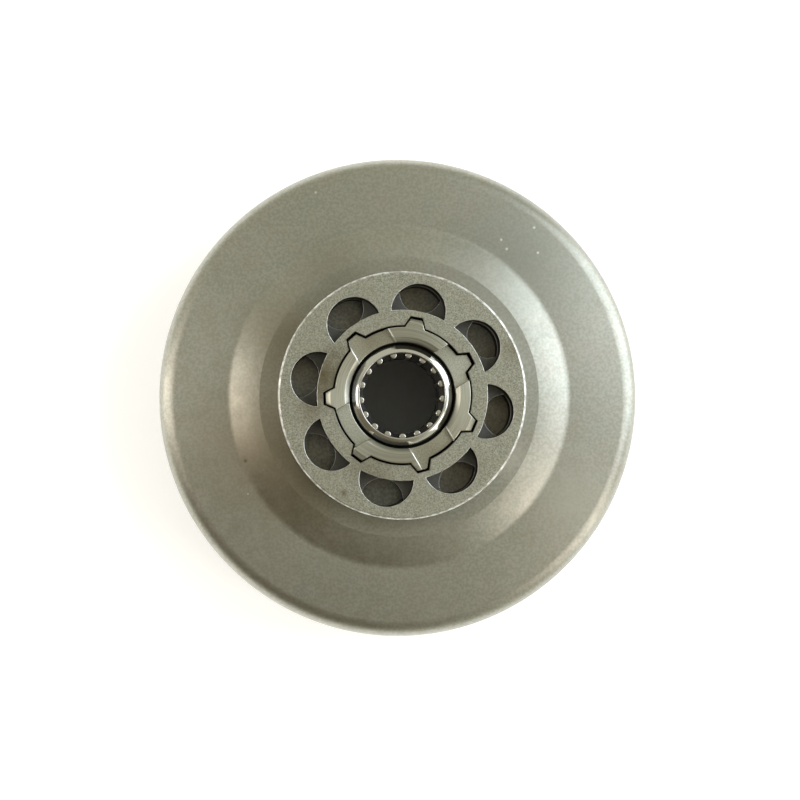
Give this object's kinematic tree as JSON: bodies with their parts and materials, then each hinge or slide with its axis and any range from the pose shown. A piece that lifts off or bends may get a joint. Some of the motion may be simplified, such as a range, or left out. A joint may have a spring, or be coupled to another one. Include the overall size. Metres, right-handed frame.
{
  "type": "chainsaw clutch drum with rim sprocket",
  "caption": "Pressed steel clutch drum with a splined hub, a floating windowed rim sprocket that drives the saw chain, and a caged needle bearing for the crankshaft.",
  "frame": {"origin": "centre of the drum's mouth, on the plane of its edge", "axes": "+Z along the drum's axis from the mouth towards the hub's slotted end"},
  "size_m": [0.078, 0.078, 0.0336],
  "materials": {
    "drum_steel": "satin, lightly oiled",
    "hub_steel": "turned and milled",
    "rim_steel": "tumbled, grainy and matt",
    "bearing_steel": "polished",
    "cage_steel": "dark phosphate",
    "needle_steel": "ground and polished"
  },
  "bodies": {
    "drum": {"clutch_drum": "drum_steel", "splined_hub": "hub_steel", "bearing_cup": "bearing_steel"},
    "rim": {"rim_sprocket": "rim_steel"},
    "cage": {"needle_cage": "cage_steel"},
    "roller_01": {"needle_roller_01": "needle_steel"},
    "roller_02": {"needle_roller_02": "needle_steel"},
    "roller_03": {"needle_roller_03": "needle_steel"},
    "roller_04": {"needle_roller_04": "needle_steel"},
    "roller_05": {"needle_roller_05": "needle_steel"},
    "roller_06": {"needle_roller_06": "needle_steel"},
    "roller_07": {"needle_roller_07": "needle_steel"},
    "roller_08": {"needle_roller_08": "needle_steel"},
    "roller_09": {"needle_roller_09": "needle_steel"},
    "roller_10": {"needle_roller_10": "needle_steel"},
    "roller_11": {"needle_roller_11": "needle_steel"},
    "roller_12": {"needle_roller_12": "needle_steel"},
    "roller_13": {"needle_roller_13": "needle_steel"},
    "roller_14": {"needle_roller_14": "needle_steel"},
    "roller_15": {"needle_roller_15": "needle_steel"},
    "roller_16": {"needle_roller_16": "needle_steel"},
    "roller_17": {"needle_roller_17": "needle_steel"}
  },
  "joints": [
    {"name": "rim_slide", "type": "slide", "parent": "drum", "child": "rim", "axis": [0, 0, 1], "range_m": [0, 0.015]},
    {"name": "cage_spin", "type": "hinge", "parent": "drum", "child": "cage", "pos_m": [0, 0, 0.02445], "axis": [0, 0, 1], "continuous": true},
    {"name": "roller_01_spin", "type": "hinge", "parent": "cage", "child": "roller_01", "pos_m": [0.00631, 0.00193, 0.02445], "axis": [0, 0, 1], "continuous": true},
    {"name": "roller_02_spin", "type": "hinge", "parent": "cage", "child": "roller_02", "pos_m": [0.00519, 0.00408, 0.02445], "axis": [0, 0, 1], "continuous": true},
    {"name": "roller_03_spin", "type": "hinge", "parent": "cage", "child": "roller_03", "pos_m": [0.00336, 0.00568, 0.02445], "axis": [0, 0, 1], "continuous": true},
    {"name": "roller_04_spin", "type": "hinge", "parent": "cage", "child": "roller_04", "pos_m": [0.00109, 0.00651, 0.02445], "axis": [0, 0, 1], "continuous": true},
    {"name": "roller_05_spin", "type": "hinge", "parent": "cage", "child": "roller_05", "pos_m": [-0.00134, 0.00646, 0.02445], "axis": [0, 0, 1], "continuous": true},
    {"name": "roller_06_spin", "type": "hinge", "parent": "cage", "child": "roller_06", "pos_m": [-0.00358, 0.00554, 0.02445], "axis": [0, 0, 1], "continuous": true},
    {"name": "roller_07_spin", "type": "hinge", "parent": "cage", "child": "roller_07", "pos_m": [-0.00534, 0.00387, 0.02445], "axis": [0, 0, 1], "continuous": true},
    {"name": "roller_08_spin", "type": "hinge", "parent": "cage", "child": "roller_08", "pos_m": [-0.00638, 0.00168, 0.02445], "axis": [0, 0, 1], "continuous": true},
    {"name": "roller_09_spin", "type": "hinge", "parent": "cage", "child": "roller_09", "pos_m": [-0.00656, -0.00074, 0.02445], "axis": [0, 0, 1], "continuous": true},
    {"name": "roller_10_spin", "type": "hinge", "parent": "cage", "child": "roller_10", "pos_m": [-0.00585, -0.00306, 0.02445], "axis": [0, 0, 1], "continuous": true},
    {"name": "roller_11_spin", "type": "hinge", "parent": "cage", "child": "roller_11", "pos_m": [-0.00435, -0.00496, 0.02445], "axis": [0, 0, 1], "continuous": true},
    {"name": "roller_12_spin", "type": "hinge", "parent": "cage", "child": "roller_12", "pos_m": [-0.00226, -0.0062, 0.02445], "axis": [0, 0, 1], "continuous": true},
    {"name": "roller_13_spin", "type": "hinge", "parent": "cage", "child": "roller_13", "pos_m": [0.00013, -0.0066, 0.02445], "axis": [0, 0, 1], "continuous": true},
    {"name": "roller_14_spin", "type": "hinge", "parent": "cage", "child": "roller_14", "pos_m": [0.0025, -0.00611, 0.02445], "axis": [0, 0, 1], "continuous": true},
    {"name": "roller_15_spin", "type": "hinge", "parent": "cage", "child": "roller_15", "pos_m": [0.00454, -0.00479, 0.02445], "axis": [0, 0, 1], "continuous": true},
    {"name": "roller_16_spin", "type": "hinge", "parent": "cage", "child": "roller_16", "pos_m": [0.00596, -0.00283, 0.02445], "axis": [0, 0, 1], "continuous": true},
    {"name": "roller_17_spin", "type": "hinge", "parent": "cage", "child": "roller_17", "pos_m": [0.00658, -0.00048, 0.02445], "axis": [0, 0, 1], "continuous": true}
  ],
  "couplings": [
    {"joint": "roller_01_spin", "follows": "cage_spin", "ratio": -12},
    {"joint": "roller_02_spin", "follows": "cage_spin", "ratio": -12},
    {"joint": "roller_03_spin", "follows": "cage_spin", "ratio": -12},
    {"joint": "roller_04_spin", "follows": "cage_spin", "ratio": -12},
    {"joint": "roller_05_spin", "follows": "cage_spin", "ratio": -12},
    {"joint": "roller_06_spin", "follows": "cage_spin", "ratio": -12},
    {"joint": "roller_07_spin", "follows": "cage_spin", "ratio": -12},
    {"joint": "roller_08_spin", "follows": "cage_spin", "ratio": -12},
    {"joint": "roller_09_spin", "follows": "cage_spin", "ratio": -12},
    {"joint": "roller_10_spin", "follows": "cage_spin", "ratio": -12},
    {"joint": "roller_11_spin", "follows": "cage_spin", "ratio": -12},
    {"joint": "roller_12_spin", "follows": "cage_spin", "ratio": -12},
    {"joint": "roller_13_spin", "follows": "cage_spin", "ratio": -12},
    {"joint": "roller_14_spin", "follows": "cage_spin", "ratio": -12},
    {"joint": "roller_15_spin", "follows": "cage_spin", "ratio": -12},
    {"joint": "roller_16_spin", "follows": "cage_spin", "ratio": -12},
    {"joint": "roller_17_spin", "follows": "cage_spin", "ratio": -12}
  ]
}
